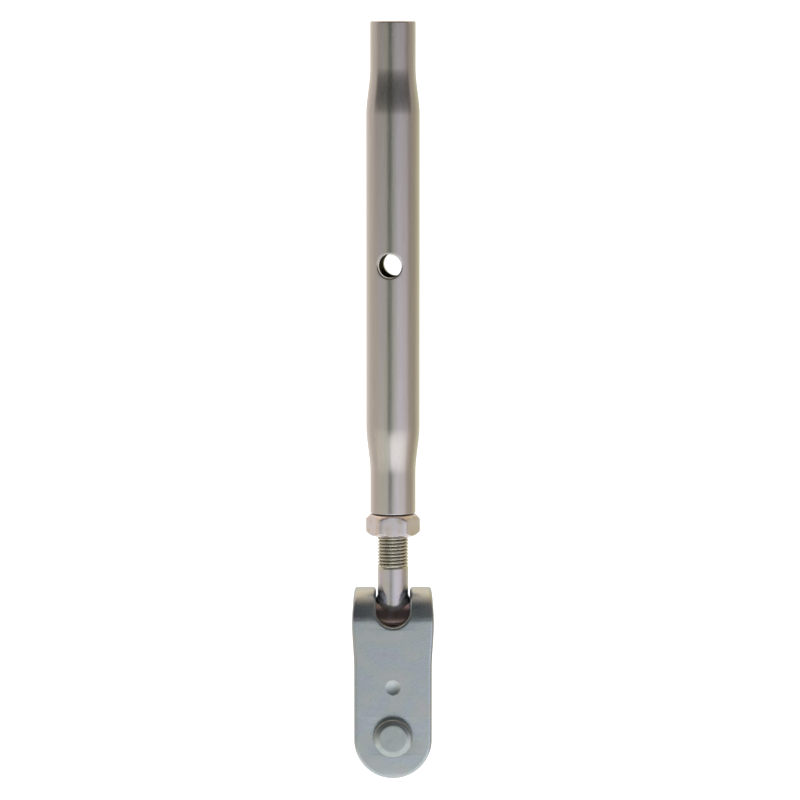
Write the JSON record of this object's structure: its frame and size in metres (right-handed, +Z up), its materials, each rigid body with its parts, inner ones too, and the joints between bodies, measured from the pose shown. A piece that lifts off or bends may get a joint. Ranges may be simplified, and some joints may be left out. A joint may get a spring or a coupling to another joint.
{
  "type": "rigging turnbuckle",
  "caption": "Closed-body rigging turnbuckle with a toggle fork and clevis pin on its lower stud and an open threaded upper end.",
  "frame": {"origin": "centre of the open mouth of the upper stud socket, in the body's top end face", "axes": "+Z up along the body's axis, out of the upper socket; the clevis pin lies along Y with its head at -Y; +X across the fork"},
  "size_m": [0.0252, 0.0292, 0.2334],
  "materials": {
    "body_steel": "polished stainless steel",
    "nut_steel": "machined stainless steel",
    "stud_steel": "turned and rolled-thread stainless steel",
    "fork_steel": "satin, tumbled stainless steel",
    "pin_steel": "turned stainless steel",
    "split_pin_steel": "drawn stainless wire"
  },
  "bodies": {
    "body_tube": {"body_tube": "body_steel"},
    "locknut": {"locknut": "nut_steel"},
    "t_bolt": {"t_bolt": "stud_steel"},
    "toggle_fork": {"toggle_fork": "fork_steel"},
    "clevis_pin": {"clevis_pin": "pin_steel"},
    "split_pin": {"split_pin": "split_pin_steel"}
  },
  "joints": [
    {"name": "body_turn", "type": "hinge", "parent": "body_tube", "child": "locknut", "pos_m": [0, 0, -0.1519], "axis": [0, 0, 1], "range_deg": [-16200, 3240]},
    {"name": "stud_travel", "type": "slide", "parent": "locknut", "child": "t_bolt", "axis": [0, 0, 1], "range_m": [-0.04762, 0.00952]},
    {"name": "toggle_swing", "type": "hinge", "parent": "t_bolt", "child": "toggle_fork", "pos_m": [0, 0, -0.185], "axis": [1, 0, 0], "range_deg": [-40, 40]},
    {"name": "pin_turn", "type": "hinge", "parent": "toggle_fork", "child": "clevis_pin", "pos_m": [0, 0, -0.2203], "axis": [0, 1, 0], "continuous": true},
    {"name": "split_pin_draw", "type": "slide", "parent": "clevis_pin", "child": "split_pin", "axis": [0, 0, 1], "range_m": [0, 0.025]}
  ],
  "couplings": [
    {"joint": "body_turn", "follows": "stud_travel", "rad_per_m": 5936.9}
  ]
}
